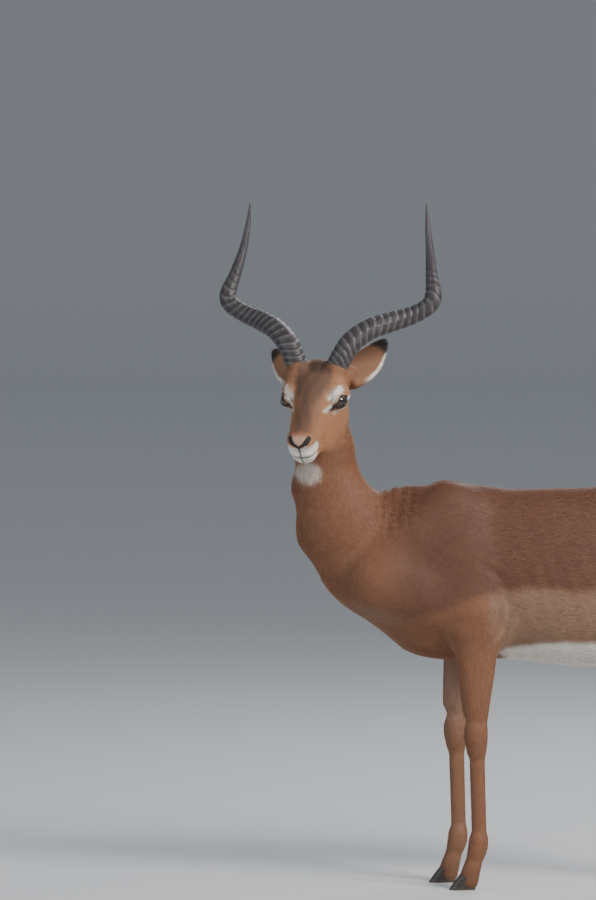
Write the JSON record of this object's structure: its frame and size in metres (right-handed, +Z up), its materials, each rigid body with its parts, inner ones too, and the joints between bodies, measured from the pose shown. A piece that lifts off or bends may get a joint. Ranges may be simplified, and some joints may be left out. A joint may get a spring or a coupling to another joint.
{
  "type": "impala",
  "caption": "Life-size standing adult male impala with long lyre-shaped ringed horns, its head turned to look over its left side.",
  "frame": {"origin": "on the floor, below the middle of the animal's box, where the soles of the hooves stand", "axes": "+Z up; the animal faces -X, with its left side and its face towards -Y"},
  "size_m": [1.2047, 0.368, 1.5182],
  "materials": {
    "coat": "short, close rufous fur, paler on the flanks, white below, matte with a faint sheen",
    "horn": "dark grey-brown ridged horn, worn smooth towards the tips",
    "eye": "wet, dark brown, glossy",
    "hoof": "black horn, satin"
  },
  "bodies": {
    "root": {"head": "coat", "neck": "coat", "trunk": "coat", "tail": "coat", "foreleg_upper_left": "coat", "foreleg_lower_left": "coat", "hindleg_upper_left": "coat", "hindleg_lower_left": "coat", "ear_left": "coat", "horn_left": "horn", "eye_left": "eye", "hoof_fore_left_inner": "hoof", "hoof_fore_left_outer": "hoof", "hoof_hind_left_inner": "hoof", "hoof_hind_left_outer": "hoof", "foreleg_upper_right": "coat", "foreleg_lower_right": "coat", "hindleg_upper_right": "coat", "hindleg_lower_right": "coat", "ear_right": "coat", "horn_right": "horn", "eye_right": "eye", "hoof_fore_right_inner": "hoof", "hoof_fore_right_outer": "hoof", "hoof_hind_right_inner": "hoof", "hoof_hind_right_outer": "hoof"}
  },
  "joints": []
}
